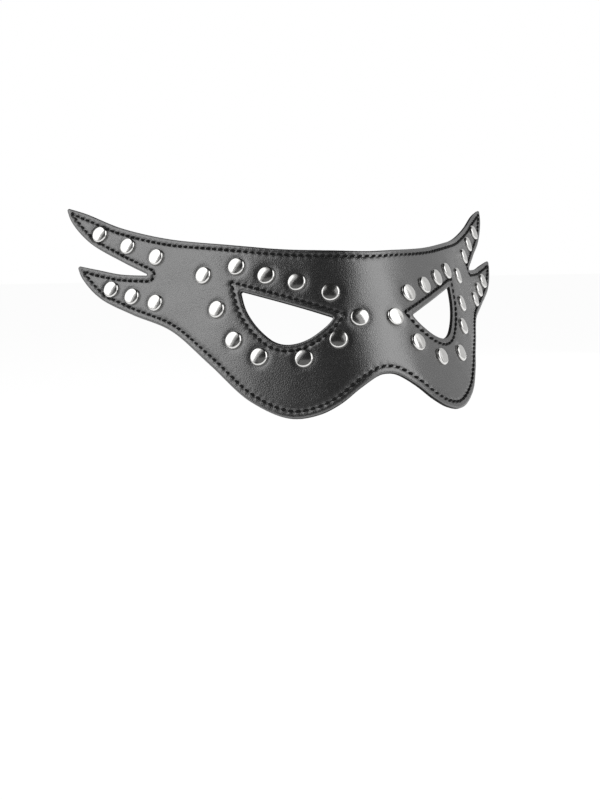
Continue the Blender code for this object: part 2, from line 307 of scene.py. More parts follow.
rivet_places = []
for side, word, column in ((-1, "right", 1), (1, "left", 2)):
    places = [eye_point(row[0], row[column]) for row in EYE_RIVETS]
    places += [pattern_point(row[0], row[column]) for row in PRONG_RIVETS]
    for number, place in enumerate(places, start=1):
        rivet_places.append((f"{word}_{number:02d}", (side * place.x, place.y)))
RIVETS = np.array([place for _, place in rivet_places])
print(len(RIVETS), "rivets")

# %% [markdown]
# ## Bending the sheet
# Leather bends but hardly stretches, so it can only curl about straight lines, called
# rulings. A frame walks out along the nose line and turns a little about each ruling it
# crosses. A point of the pattern is then carried by the frame of its own ruling. Last,
# the whole sheet is tilted back, as the mask leans on a brow.

# %% The bend
WING_TURN = math.radians(47)
RULING_FAN = math.radians(-4)
TILT_BACK = math.radians(26)
FRAME_STEP = 0.001
BEND_ROUNDS = 20
BEND = [
    (0.00, 0.00), (0.11, 0.45), (0.22, 0.67), (0.36, 0.80),
    (0.51, 0.99), (0.66, 1.01), (0.91, 0.86), (1.10, 0.70),
]


def turn_at(distance):
    share = distance / HALF_LENGTH
    rows = [Vector(row) for row in BEND]
    rows = [rows[1] * -1, *rows, rows[-1] * 2 - rows[-2]]
    for index in range(1, len(rows) - 2):
        if share <= rows[index + 1].x or index == len(rows) - 3:
            break
    low, high = rows[index], rows[index + 1]
    width = high.x - low.x
    slope_low = (high.y - rows[index - 1].y) / (high.x - rows[index - 1].x) * width
    slope_high = (rows[index + 2].y - low.y) / (rows[index + 2].x - low.x) * width
    t = (share - low.x) / width
    turned = (2 * t**3 - 3 * t**2 + 1) * low.y + (t**3 - 2 * t**2 + t) * slope_low
    turned += (3 * t**2 - 2 * t**3) * high.y + (t**3 - t**2) * slope_high
    return WING_TURN * turned


def walk_out():
    place = Vector((0, 0, 0))
    axes = Matrix(((1, 0, 0), (0, 0, 1), (0, -1, 0))).transposed()
    places, frames = [np.array(place)], [np.array(axes)]
    for index in range(math.ceil(BEND[-1][0] * HALF_LENGTH / FRAME_STEP)):
        near, far = index * FRAME_STEP, (index + 1) * FRAME_STEP
        lean = RULING_FAN * (near + far) / 2 / HALF_LENGTH
        ruling = axes @ Vector((math.sin(lean), math.cos(lean), 0))
        turn = Matrix.Rotation(turn_at(far) - turn_at(near), 3, ruling)
        place = place + axes.col[0] * FRAME_STEP / 2
        axes = turn @ axes
        place = place + axes.col[0] * FRAME_STEP / 2
        places.append(np.array(place))
        frames.append(np.array(axes))
    return np.array(places), np.array(frames)


WALK_PLACES, WALK_AXES = walk_out()
DEPTH = FACE_THICK + LAYER_GAP + LINING_THICK
SEAT_TURN = np.array(Matrix.Rotation(-TILT_BACK, 3, "X"))
SEAT_PLACE = np.array((0, -DEPTH * math.cos(TILT_BACK), DEPTH * math.sin(TILT_BACK)))


def sheet_frame(flat):
    """Where points of the pattern land, and the directions out, up and forward there."""
    side = np.where(flat[:, 0] < 0, -1.0, 1.0)
    out, up = np.abs(flat[:, 0]), flat[:, 1]
    distance = out
    for _ in range(BEND_ROUNDS):
        distance = out - up * np.tan(RULING_FAN * distance / HALF_LENGTH)
    distance = np.clip(distance, 0.0, (len(WALK_PLACES) - 2) * FRAME_STEP)
    index = (distance / FRAME_STEP).astype(int)
    share = distance / FRAME_STEP - index
    part = share[:, None, None]
    axes = WALK_AXES[index] * (1 - part) + WALK_AXES[index + 1] * part
    axes /= np.linalg.norm(axes, axis=1, keepdims=True)
    part = share[:, None]
    place = WALK_PLACES[index] * (1 - part) + WALK_PLACES[index + 1] * part
    place = place + axes[:, :, 0] * (out - distance)[:, None] + axes[:, :, 1] * up[:, None]
    place[:, 0] *= side
    axes[:, 0, :] *= side[:, None]
    axes[:, :, 0] *= side[:, None]
    return place @ SEAT_TURN.T + SEAT_PLACE, SEAT_TURN @ axes


def bend(points):
    """Bends points: x and y in the flat pattern, z out from the face of the leather."""
    place, axes = sheet_frame(points[:, :2])
    return place + axes[:, :, 2] * points[:, 2:3]


tips = bend(np.array([(side * HALF_LENGTH, WING_RISE, 0.0) for side in (-1, 1)]))
print("the wing tips land at", np.round(tips, 4).tolist())

# %% [markdown]
# ## A net of points over the leather
# A smooth bent sheet needs a mesh that is fine where its shape changes quickly: along the
# edges, beside the seams and round each rivet. So points are laid along those lines first
# and the rest is filled with an even hexagonal net. A Delaunay triangulation joins them
# into well-shaped triangles, with the outline and the eye holes as fixed edges.

# %% Points of the net
CELL = 0.002  # size of the squares that the crowding test looks in
NET_STEP = 0.0015
NET_CLEAR = 0.62  # how near the even net may come to other points, as a share of its step
WELD = 1e-7
EDGE_GAPS, EDGE_CLEAR = (0.00015, 0.00035, 0.00065, 0.0011), 0.00022
SEAM_GAPS, SEAM_CLEAR = (0.0, 0.0005, -0.0005, 0.001, -0.001), 0.0004
RIVET_RINGS = [  # radius, points
    (0.0042, 40), (0.0048, 40), (0.0055, 40), (0.0064, 36), (0.0078, 32),
]


def on_leather(points, holes):
    """True for points inside the outline and outside the eye holes."""
    x, y = points.T
    odd = np.zeros(len(points), bool)
    for loop in [EDGE, *holes]:
        for (x1, y1), (x2, y2) in zip(loop, np.roll(loop, -1, axis=0)):
            if y1 != y2:
                odd ^= ((y1 > y) != (y2 > y)) & (x < x1 + (y - y1) * (x2 - x1) / (y2 - y1))
    return odd


def thin_out(groups, holes):
    """The points of each group in turn, without those that crowd one already kept."""
    kept, squares = [], {}
    for points, apart in groups:
        inside = on_leather(points, holes) if apart else np.ones(len(points), bool)
        for x, y in points[inside]:
            column, row = int(x // CELL), int(y // CELL)
            beside = [
                spot for right in (-1, 0, 1) for above in (-1, 0, 1)
                for spot in squares.get((column + right, row + above), ())
            ]
            if all((x - a) ** 2 + (y - b) ** 2 >= apart**2 for a, b in beside):
                squares.setdefault((column, row), []).append((x, y))
                kept.append((x, y))
    return kept


def ring(centre, radius, count):
    angle = np.arange(count) * math.tau / count
    return np.array(centre) + radius * np.stack([np.cos(angle), np.sin(angle)], axis=1)


def hexagon_net(step):
    across = np.arange(-HALF_LENGTH, HALF_LENGTH, step)
    upward = np.arange(-CHEEK_DROP, WING_RISE, step * math.sqrt(3) / 2)
    rows = []
    for number, y in enumerate(upward):
        shifted = across + step / 2 * (number % 2)
        rows.append(np.stack([shifted, np.full(len(across), y)], axis=1))
    return np.concatenate(rows)


def flat_net(holes, groups, step):
    """A flat mesh of triangles over the leather: its points and its triangles."""
    boundary = [EDGE, *holes]
    groups = [(loop, 0.0) for loop in boundary] + groups
    points = thin_out([*groups, (hexagon_net(step), step * NET_CLEAR)], holes)
    fixed, start = [], 0
    for loop in boundary:
        fixed += [(start + n, start + (n + 1) % len(loop)) for n in range(len(loop))]
        start += len(loop)
    found = delaunay_2d_cdt([Vector(point) for point in points], fixed, [], 0, WELD)
    points = np.array([tuple(point) for point in found[0]])
    triangles = np.array([tuple(face) for face in found[2]])
    triangles = triangles[on_leather(points[triangles].mean(axis=1), holes)]
    corners = points[triangles]
    one, two = corners[:, 1] - corners[:, 0], corners[:, 2] - corners[:, 0]
    turned = one[:, 0] * two[:, 1] - one[:, 1] * two[:, 0] < 0
    triangles[turned] = triangles[turned][:, ::-1]
    return points, triangles


def line_groups(holes, edge_gaps, edge_clear, seam_gaps, seam_clear):
    """Points along the edges and the seams, each line with how near others may come."""
    groups = []
    for gap in edge_gaps:
        groups.append((inset(EDGE, gap, hole=False), edge_clear))
        groups += [(inset(loop, gap, hole=True), edge_clear) for loop in holes]
    for gap in seam_gaps:
        for seam in SEAMS:
            line = spaced(seam, STITCH_PITCH / 4)[0]
            if gap:
                line = inset(line, abs(gap), hole=(gap < 0))
            groups.append((line, seam_clear))
    return groups


holes = [EYE, mirrored(EYE)]
groups = line_groups(holes, EDGE_GAPS, EDGE_CLEAR, SEAM_GAPS, SEAM_CLEAR)
for radius, count in RIVET_RINGS:
    groups += [(ring(place, radius, count), SEAM_CLEAR) for place in RIVETS]
face_points, face_triangles = flat_net(holes, groups, NET_STEP)
print("face leather:", len(face_points), "points,", len(face_triangles), "triangles a side")

# %% [markdown]
# ## The relief of the leather
# Flat leather would look like card. Real faux leather rolls over at its cut edges, sinks
# where the thread pulls it down, puckers between the stitches, and dips round each rivet.
# All of these are heights above the flat pattern that depend on the distance to an edge,
# a seam or a rivet, so they are added before the sheet is bent.

# %% Distances to edges, seams and rivets
stitch_rows = []  # for each seam: places of its stitches, and their real pitch
seam_points, seam_phase = [], []
for seam in SEAMS:
    stitch_rows.append(spaced(seam, STITCH_PITCH))
    fine, step = spaced(seam, FINE_GAP)
    seam_points.append(fine)
    seam_phase.append(np.arange(len(fine)) * step / stitch_rows[-1][1])
SEAM_TREE, SEAM_PHASE = tree_of(np.concatenate(seam_points)), np.concatenate(seam_phase)
EDGE_TREE = tree_of(np.concatenate([spaced(loop, FINE_GAP)[0] for loop in [EDGE, *holes]]))
RIVET_TREE = tree_of(RIVETS)
print(sum(len(places) for places, _ in stitch_rows), "stitches")

# %% Heights of the face
EDGE_ROLL, EDGE_ROLL_WIDTH = 0.00045, 0.0011
SEAM_SINK, SEAM_WIDTH = 0.00030, 0.00075
STITCH_PULL, PULL_SPREAD = 0.00030, 1.5  # the spread is a share of the seam's width
RIVET_SINK, RIVET_SPREAD = 0.00032, 0.0013
SWELL, SWELL_LENGTH = 0.00022, 0.014


def near_marks(points):
    """How near each point is to an edge, a seam and a rivet, from 0 to 1."""
    edge_gap = nearest(EDGE_TREE, points)[0]
    seam_gap, seam_at = nearest(SEAM_TREE, points)
    rivet_gap = np.maximum(nearest(RIVET_TREE, points)[0] - RIVET_RADIUS, 0)
    pull = 0.5 - 0.5 * np.cos(math.tau * SEAM_PHASE[seam_at])
    return {
        "near_edge": np.clip(1 - edge_gap / EDGE_ROLL_WIDTH, 0, 1),
        "near_seam": np.exp(-(seam_gap / SEAM_WIDTH) ** 2),
        "near_rivet": np.exp(-(rivet_gap / RIVET_SPREAD) ** 2),
        "stitch_pull": pull * np.exp(-(seam_gap / (PULL_SPREAD * SEAM_WIDTH)) ** 2),
    }


def swell(points):
    return np.array([noise.noise(Vector((x, y, 0)) / SWELL_LENGTH) for x, y in points])


face_marks = near_marks(face_points)
face_height = SWELL * swell(face_points) * (1 - face_marks["near_rivet"])
face_height -= EDGE_ROLL * face_marks["near_edge"] ** 2
face_height -= SEAM_SINK * face_marks["near_seam"] + STITCH_PULL * face_marks["stitch_pull"]
face_height -= RIVET_SINK * face_marks["near_rivet"]
print(f"heights from {face_height.min() * 1000:.2f} to {face_height.max() * 1000:.2f} mm")

# %% [markdown]
# ## From a net to a sheet
# A sheet of leather has two sides and a cut wall. Its front is the net with its heights,
# its back is the same net turned over, and each outer edge of the net becomes one face of
# the wall. The cut wall gets a finish of its own. The pattern place of each point is kept
# on the mesh as an attribute, so that the grain can follow the leather round its bend.

# %% Sheets with thickness
CREASE = math.radians(38)


def add_piece(name, points, faces, finishes, smooth_angle):
    mesh = bpy.data.meshes.new(name)
    mesh.from_pydata(points.tolist(), [], faces)
    for finish in finishes:
        mesh.materials.append(finish)
    mesh.shade_smooth()
    mesh.set_sharp_from_angle(angle=smooth_angle)
    piece = bpy.data.objects.new(name, mesh)
    bpy.context.collection.objects.link(piece)
    return piece


def keep_attribute(piece, name, values):
    kind = "FLOAT_VECTOR" if values.ndim == 2 else "FLOAT"
    layer = piece.data.attributes.new(name, kind, "POINT")
    part = "vector" if values.ndim == 2 else "value"
    layer.data.foreach_set(part, values.astype(np.float32).ravel())


def sheet_piece(name, points, triangles, top, bottom, marks, finishes):
    count = len(points)
    flat = np.concatenate([np.column_stack([points, top]), np.column_stack([points, bottom])])
    ways = {(a, b) for tri in triangles.tolist() for a, b in zip(tri, tri[1:] + tri[:1])}
    rim = sorted((a, b) for a, b in ways if (b, a) not in ways)
    faces = triangles.tolist() + (triangles[:, ::-1] + count).tolist()
    sides = len(faces)
    faces += [(b, a, a + count, b + count) for a, b in rim]
    piece = add_piece(name, bend(flat), faces, finishes, CREASE)
    index = np.zeros(len(faces), dtype=np.int32)
    index[sides:] = 1
    piece.data.polygons.foreach_set("material_index", index)
    keep_attribute(piece, "pattern_place", flat)
    for mark, values in marks.items():
        keep_attribute(piece, mark, np.tile(values, 2))
    print(name, len(faces), "faces,", len(rim), "of them in its wall")
    return piece


# %% [markdown]
# ## Writing finishes as sums
# A procedural material is arithmetic on patterns. One small class wraps a socket, so that
# a sum written in Python adds the nodes that work it out. Any other node comes from one
# method, which takes the node's type, its settings, and what feeds its sockets.

# %% A socket that can be used in sums
MILLIMETRES = (1000.0, 1000.0, 1000.0)  # from metres


class Wire:
    def __init__(self, finish, socket):
        self.finish, self.socket = finish, socket

    def sum(self, operation, one, two):
        kind = "Math" if self.socket.type == "VALUE" else "VectorMath"
        return self.finish.node(kind, {"operation": operation}, [one, two])

    def __add__(self, other):
        return self.sum("ADD", self, other)

    def __radd__(self, other):
        return self.sum("ADD", other, self)

    def __sub__(self, other):
        return self.sum("SUBTRACT", self, other)

    def __rsub__(self, other):
        return self.sum("SUBTRACT", other, self)

    def __mul__(self, other):
        return self.sum("MULTIPLY", self, other)

    def __rmul__(self, other):
        return self.sum("MULTIPLY", other, self)

    def between(self, low, high):
        """0 at low, 1 at high, and a soft curve between."""
        settings = {"interpolation_type": "SMOOTHSTEP", "clamp": True}
        values = {"Value": self, "From Min": low, "From Max": high}
        return self.finish.node("MapRange", settings, values)


class Finish:
    """A material for one of the mask's finishes. Fixed values go straight on its shader."""

    def __init__(self, name, **fixed):
        self.material = bpy.data.materials.new(name)
        self.material.use_nodes = True
        self.tree = self.material.node_tree
        self.shader = self.tree.nodes["Principled BSDF"]
        for socket, value in fixed.items():
            self.shader.inputs[socket.replace("_", " ")].default_value = value

    def feed(self, socket, value):
        if isinstance(value, Wire):
            self.tree.links.new(value.socket, socket)
        else:
            socket.default_value = value

    def node(self, kind, settings, values, output=0):
        made = self.tree.nodes.new("ShaderNode" + kind)
        for name, value in settings.items():
            setattr(made, name, value)
        pairs = values.items() if isinstance(values, dict) else enumerate(values)
        for name, value in pairs:
            self.feed(made.inputs[name], value)
        return Wire(self, made.outputs[output])

    def mark(self, name, output="Fac"):
        return self.node("Attribute", {"attribute_name": name}, {}, output)

    def pattern_mm(self):
        """The place on the flat pattern, in millimetres."""
        return self.mark("pattern_place", "Vector") * MILLIMETRES

    def object_mm(self):
        """The place on the object, in millimetres."""
        return self.node("TexCoord", {}, {}, "Object") * MILLIMETRES

    def noise(self, place, scale, detail=2.0, output="Fac"):
        values = {"Vector": place, "Scale": scale, "Detail": detail}
        return self.node("TexNoise", {}, values, output)

    def blend(self, factor, one, two):
        values = {0: factor, 6: (*one, 1.0), 7: (*two, 1.0)}
        return self.node("Mix", {"data_type": "RGBA"}, values, 2)

    def bump(self, height, depth):
        return self.node("Bump", {}, {"Height": height, "Distance": depth, "Strength": 1.0})

    def wear(self, **varying):
        """What changes over the surface goes to the shader."""
        for socket, value in varying.items():
            self.feed(self.shader.inputs[socket.replace("_", " ")], value)
        return self.material


print("finishes are written as sums from here on")

# %% [markdown]
# ## Faux leather
# The mask's leather is a black coated cloth with a fine embossed grain: small rounded
# pebbles with creases between them, and a satin surface. The grain is a Voronoi pattern,
# whose cells are about a millimetre across, warped a little so that no cell is regular.
# A bump node turns it into relief too small to model. The coating is a touch smoother on
# top of the pebbles, and duller in the creases, at the seams and at the edge. Its colour is
# also painted darker in the creases, at the seams, round the rivets and at the edge, as
# painted shade where the leather dips.

# %% Finish of the face leather
LEATHER_DARK, LEATHER_LIGHT = (0.0078, 0.0078, 0.0080), (0.0215, 0.0214, 0.0216)
GRAIN_DEPTH = 0.00004


def faux_leather():
    finish = Finish("black_faux_leather", IOR=1.8, Specular_IOR_Level=1.0)
    place = finish.pattern_mm()
    drift = finish.noise(place, 0.9, 2.0, "Color")
    warped = place + drift * (0.9, 0.9, 0.9)
    voronoi = {"feature": "DISTANCE_TO_EDGE"}
    crease = finish.node("TexVoronoi", voronoi, {"Vector": warped, "Scale": 1.05})
    crease = crease.between(0.0, 0.30)
    fine = finish.noise(place, 3.4, 3.0)
    patch = finish.noise(place, 0.055, 3.0).between(0.32, 0.68)
    grain = crease * 0.62 + fine * 0.75
    seam, rivet, edge = (finish.mark(name) for name in ("near_seam", "near_rivet", "near_edge"))
    # painted shade: the colour is darker at the seams, round the rivets and at the edge, where
    # the leather sinks; the same mask also makes it duller
    dull_and_painted_shade = (seam * 0.45 + rivet * 0.25 + edge * 0.5).between(0.0, 1.0)
    # painted shade: the creases of the grain are coloured darker than the pebble tops; fine and
    # patch are random tone
    light = (crease * 0.45 + fine * 0.35 + patch * 0.35 - dull_and_painted_shade * 0.5).between(0.0, 1.1)
    return finish.wear(
        Base_Color=finish.blend(light, LEATHER_DARK, LEATHER_LIGHT),
        Roughness=0.27 - crease * 0.04 + fine * 0.07 - patch * 0.03 + dull_and_painted_shade * 0.14,
        Normal=finish.bump(grain, GRAIN_DEPTH),
    )


# %% [markdown]
# The cut wall shows what the leather is made of: a thin coat over pressed fibres. The
# maker blackens it, but it stays matt and a little uneven. Its fibres lie along the sheet,
# so the noise is squeezed across the thickness.

# %% Finish of the cut wall
WALL_DARK, WALL_LIGHT = (0.006, 0.006, 0.006), (0.022, 0.021, 0.020)
FIBRE_DEPTH = 0.00012


def cut_wall():
    finish = Finish("blackened_cut_edge", Specular_IOR_Level=0.3)
    place = finish.pattern_mm() * (1.0, 1.0, 4.0)
    fibre = finish.noise(place, 1.6, 4.0)
    return finish.wear(
        Base_Color=finish.blend(fibre.between(0.35, 0.7), WALL_DARK, WALL_LIGHT),
        Roughness=0.72 + fibre * 0.2,
        Normal=finish.bump(fibre, FIBRE_DEPTH),
    )


# %% [markdown]
# The lining touches the face, so it is a soft matt leather with a short nap. A nap
# scatters light at grazing angles, which the shader's sheen gives. The noise in it is
# finer than the face's grain, and broad patches show where the nap lies differently.

# %% Finish of the lining
LINING_DARK, LINING_LIGHT = (0.0075, 0.0075, 0.0078), (0.0240, 0.0236, 0.0232)
NAP_DEPTH = 0.00009


def napped_lining():
    finish = Finish(
        "napped_black_lining", Sheen_Weight=0.25, Sheen_Roughness=0.45, Specular_IOR_Level=0.25
    )
    place = finish.pattern_mm()
    nap = finish.noise(place, 4.2, 4.0)
    lie = finish.noise(place, 0.09, 3.0).between(0.35, 0.65)
    seam = finish.mark("near_seam")
    # painted shade: the lining is coloured darker along the seam, where it sinks; nap and lie
    # are random tone
    light = (nap * 0.6 + lie * 0.5 - seam * 0.35).between(0.1, 1.0)
    return finish.wear(
        Base_Color=finish.blend(light, LINING_DARK, LINING_LIGHT),
        Roughness=0.78 + nap * 0.14,
        Normal=finish.bump(nap, NAP_DEPTH),
    )


leather_finish, wall_finish, lining_finish = faux_leather(), cut_wall(), napped_lining()
print("finishes:", leather_finish.name, wall_finish.name, lining_finish.name)

# %% [markdown]
# ## The face leather and the lining
# The face is one sheet on the fine net. The lining is a second sheet behind it, cut to
# the same outline but with slightly smaller eye holes, so a thin rim of it shows inside
# each hole. Its inner side sinks along the seam too, because the thread pulls on both.

# %% Face leather
face = sheet_piece(
    "leather_face", face_points, face_triangles, face_height,
    np.full(len(face_points), -FACE_THICK), face_marks, [leather_finish, wall_finish],
)
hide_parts("face_leather")

# %% Lining
LINING_STEP = 0.0022
LINING_EDGE_GAPS, LINING_EDGE_CLEAR = (0.0003, 0.0008), 0.0004
LINING_SEAM_GAPS, LINING_SEAM_CLEAR = (0.0, 0.0007, -0.0007), 0.0005
LINING_TOP = -(FACE_THICK + LAYER_GAP)
LINING_RELIEF = 0.5  # share of the face's relief that shows on the inside
small_eye = inset(EYE, LINING_RIM, hole=False)
small_holes = [small_eye, mirrored(small_eye)]
groups = line_groups(
    small_holes, LINING_EDGE_GAPS, LINING_EDGE_CLEAR, LINING_SEAM_GAPS, LINING_SEAM_CLEAR
)
lining_points, lining_triangles = flat_net(small_holes, groups, LINING_STEP)
lining_marks = near_marks(lining_points)
lining_bottom = LINING_TOP - LINING_THICK + LINING_RELIEF * SEAM_SINK * lining_marks["near_seam"]
lining_bottom += (
    LINING_RELIEF * STITCH_PULL * lining_marks["stitch_pull"]
    + LINING_RELIEF * EDGE_ROLL * lining_marks["near_edge"] ** 2
)
lining = sheet_piece(
    "leather_lining", lining_points, lining_triangles, np.full(len(lining_points), LINING_TOP),
    lining_bottom, lining_marks, [lining_finish, wall_finish],
)
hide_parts("lining_leather")

# %% [markdown]
# ## Stitches
# The seam is sewn with thick black thread, in short slanted lumps whose ends dive into
# the leather. One stitch is modelled from a small sphere: it is laid on its side, drawn
# out to the length of a stitch, and its ends are pushed down. Copies of it are laid along
# the seams on the flat pattern and bent with the sheet. Each differs a little in length,
# slant and height, as sewing by hand and machine always does.

# %% One stitch
STITCH_LENGTH, STITCH_WIDTH, STITCH_THICK = 0.0025, 0.00105, 0.00095
STITCH_SIDES, STITCH_RINGS = 8, 7
STITCH_DIVE = 0.00042
DIVE_STEPS = [  # share of the length beyond which it dives, share of the dive
    (0.30, 0.35), (0.43, 0.65),
]


bpy.ops.object.select_all(action="DESELECT")
bpy.ops.mesh.primitive_uv_sphere_add(
    segments=STITCH_SIDES, ring_count=STITCH_RINGS, radius=0.5, location=(0, 0, 0)
)
stitch = bpy.context.object
stitch.name = "one_stitch"
bpy.ops.object.mode_set(mode="EDIT")
bpy.ops.mesh.select_all(action="SELECT")
bpy.ops.transform.rotate(value=math.pi / 2, orient_axis="Y", center_override=(0, 0, 0))
stitch_size = (STITCH_LENGTH, STITCH_WIDTH, STITCH_THICK)
bpy.ops.transform.resize(value=stitch_size, center_override=(0, 0, 0))
bpy.ops.object.mode_set(mode="OBJECT")
for share, dive in DIVE_STEPS:
    for vertex in stitch.data.vertices:
        vertex.select = abs(vertex.co.x) > share * STITCH_LENGTH
    for edge in stitch.data.edges:
        edge.select = False
    for polygon in stitch.data.polygons:
        polygon.select = False
    bpy.ops.object.mode_set(mode="EDIT")
    bpy.ops.transform.translate(value=(0, 0, -STITCH_DIVE * dive))
    bpy.ops.object.mode_set(mode="OBJECT")
shape = np.array([tuple(vertex.co) for vertex in stitch.data.vertices])
shape_faces = [list(polygon.vertices) for polygon in stitch.data.polygons]
shape_uv = np.array([tuple(corner.uv) for corner in stitch.data.uv_layers.active.data])
bpy.data.objects.remove(stitch, do_unlink=True)
shape_size = np.round(1000 * np.ptp(shape, axis=0), 2)
print("one stitch has", len(shape_faces), "faces and is", shape_size, "mm")

# %% [markdown]
# Thread is twisted from plies. The twist is a wave along and round the stitch, written on
# the sphere's own UV map, where one direction runs round the thread and the other along
# it. A thin wax leaves it satin.

# %% Finish of the thread
THREAD_DARK, THREAD_LIGHT = (0.0025, 0.0025, 0.0027), (0.0080, 0.0080, 0.0082)
PLY_DEPTH = 0.00010


def waxed_thread():
    finish = Finish("waxed_black_thread", Specular_IOR_Level=0.3)
    spot = finish.node("UVMap", {"uv_map": "UVMap"}, {})
    parts = finish.node("SeparateXYZ", {}, [spot])
    along = Wire(finish, parts.socket.node.outputs["Y"])
    turn = (parts * 2.0 + along * 3.0) * math.tau
    ply = finish.node("Math", {"operation": "SINE"}, [turn]) * 0.5 + 0.5
    fuzz = finish.noise(finish.object_mm(), 5.0, 3.0)
    return finish.wear(
        # painted shade: the grooves between the plies are coloured darker by the same twist wave
        # as the bump; fuzz is random tone
        Base_Color=finish.blend(ply * 0.6 + fuzz * 0.4, THREAD_DARK, THREAD_LIGHT),
        Roughness=0.70 - ply * 0.14 + fuzz * 0.10,
        Normal=finish.bump(ply * 0.8 + fuzz * 0.3, PLY_DEPTH),
    )


thread_finish = waxed_thread()

# %% Rows of stitches
SLANT = math.radians(13)
SLANT_JITTER = 0.06
LENGTH_RANGE, WIDTH_RANGE = (0.93, 1.06), (0.94, 1.06)
LIFT_JITTER = 0.00005
THREAD_HEIGHT = 0.00002
INNER_THREAD_HEIGHT = LINING_TOP - LINING_THICK + 0.0001
chance = random.Random(34)


def stitch_row(name, number, height, inside):
    """Stitches along one seam, at a height over the flat pattern; inside turns them over."""
    places, pitch = stitch_rows[number]
    ahead = np.roll(places, -1, axis=0) - np.roll(places, 1, axis=0)
    points, faces, uv = [], [], []
    for place, way in zip(places, ahead):
        turn = math.atan2(way[1], way[0]) + SLANT + chance.uniform(-SLANT_JITTER, SLANT_JITTER)
        size = np.array((chance.uniform(*LENGTH_RANGE), chance.uniform(*WIDTH_RANGE), 1.0))
        local = shape * size * (1, -1 if inside else 1, -1 if inside else 1)
        across = np.stack([
            local[:, 0] * math.cos(turn) - local[:, 1] * math.sin(turn),
            local[:, 0] * math.sin(turn) + local[:, 1] * math.cos(turn),
        ], axis=1)
        lift = height + chance.uniform(-LIFT_JITTER, LIFT_JITTER)
        faces += [[corner + len(points) * len(shape) for corner in face] for face in shape_faces]
        points.append(np.column_stack([place + across, local[:, 2] + lift]))
        uv.append(shape_uv)
    row = add_piece(name, bend(np.concatenate(points)), faces, [thread_finish], math.pi)
    layer = row.data.uv_layers.new(name="UVMap")
    layer.data.foreach_set("uv", np.concatenate(uv).astype(np.float32).ravel())
    print(name, len(places), "stitches at", f"{pitch * 1000:.2f} mm")
    return row


stitching = []
for number, word in enumerate(("edge", "eye_left", "eye_right")):
    stitching += [
        stitch_row(f"stitching_{word}", number, THREAD_HEIGHT, inside=False),
        stitch_row(f"inner_stitching_{word}", number, INNER_THREAD_HEIGHT, inside=True),
    ]

# %% [markdown]
# ## Rivets
# Each rivet is a pressed nickel cap: a very shallow dome with a tight round shoulder,
# which falls steeply into the leather. One cap is modelled from a disc. It is
# extruded up through a few rings, each drawn in a little further, and its middle is poked
# so that the crown closes in one point. Every other cap is a copy of it.

# %% One rivet cap
CAP_RINGS = [
    # radius, height above the leather, in millimetres
    (4.05, 0.02), (4.05, 0.20), (4.00, 0.35), (3.88, 0.54), (3.74, 0.71), (3.62, 0.82),
    (3.50, 0.89), (3.20, 0.96), (2.60, 1.08), (1.90, 1.18), (1.20, 1.25), (0.50, 1.29),
]
CAP_FOOT = -0.00036
FOOT_RADIUS = RIVET_RADIUS - 0.00006
CAP_SIDES = 48
CAP_SMOOTH = math.radians(50)

bpy.ops.object.select_all(action="DESELECT")
bpy.ops.mesh.primitive_circle_add(
    vertices=CAP_SIDES, radius=FOOT_RADIUS, fill_type="NGON", location=(0, 0, 0)
)
cap = bpy.context.object
cap.name = "one_cap"
bpy.ops.object.mode_set(mode="EDIT")
bpy.ops.mesh.select_all(action="SELECT")
bpy.ops.transform.translate(value=(0, 0, CAP_FOOT))
radius, height = FOOT_RADIUS, CAP_FOOT
for ring_radius, ring_height in CAP_RINGS:
    rise = ring_height / 1000 - height
    bpy.ops.mesh.extrude_region_move(TRANSFORM_OT_translate={"value": (0, 0, rise)})
    grow = ring_radius / 1000 / radius
    bpy.ops.transform.resize(value=(grow, grow, 1), center_override=(0, 0, 0))
    radius, height = ring_radius / 1000, ring_height / 1000
bpy.ops.mesh.poke()
bpy.ops.mesh.select_all(action="SELECT")
bpy.ops.mesh.normals_make_consistent(inside=False)
bpy.ops.object.mode_set(mode="OBJECT")
bpy.ops.object.shade_smooth_by_angle(angle=CAP_SMOOTH)
cap_size = [round(1000 * side, 2) for side in cap.dimensions]
print("one cap has", len(cap.data.polygons), "faces and is", cap_size, "mm")

# %% [markdown]
# Nickel plate is a metal, so all of its colour is in its reflection. It is nearly as
# smooth as a mirror. Handling leaves faint scuffs, so its roughness changes a little and
# a very low bump breaks up the reflections.

# %% Finish of the rivets
NICKEL_DULL, NICKEL_BRIGHT = (0.72, 0.715, 0.70), (0.80, 0.795, 0.78)
SCUFF_DEPTH = 0.00001


def bright_nickel():
    finish = Finish("bright_nickel", Metallic=1.0)
    place = finish.object_mm()
    cloud = finish.noise(place, 0.35, 3.0)
    scuff = finish.noise(place * (1.0, 1.0, 6.0), 1.2, 5.0).between(0.45, 0.75)
    return finish.wear(
        Base_Color=finish.blend(cloud.between(0.3, 0.7), NICKEL_DULL, NICKEL_BRIGHT),
        Roughness=0.13 + scuff * 0.06 + cloud * 0.04,
        Normal=finish.bump(cloud + scuff * 0.15, SCUFF_DEPTH),
    )


nickel_finish = bright_nickel()

# %% All the rivets
spots, spot_axes = sheet_frame(RIVETS)
rivet_pieces = []
for (name, _), spot, axes in zip(rivet_places, spots, spot_axes):
    data = cap.data.copy()
    data.name = f"domed_rivet_{name}"
    to_place = Matrix(axes.tolist()).to_4x4()
    to_place.translation = Vector(spot)
    data.transform(to_place)
    data.materials.append(nickel_finish)
    rivet = bpy.data.objects.new(data.name, data)
    bpy.context.collection.objects.link(rivet)
    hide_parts(f"rivet_{name}")
    rivet_pieces.append(rivet)
bpy.data.objects.remove(cap, do_unlink=True)
print(len(rivet_pieces), "rivets placed")

# %% [markdown]
# ## What holds what
# The mask is one body, so every piece rides on it. The two sheets of leather were bent,
# not stretched, so their real areas stay what the pattern says.

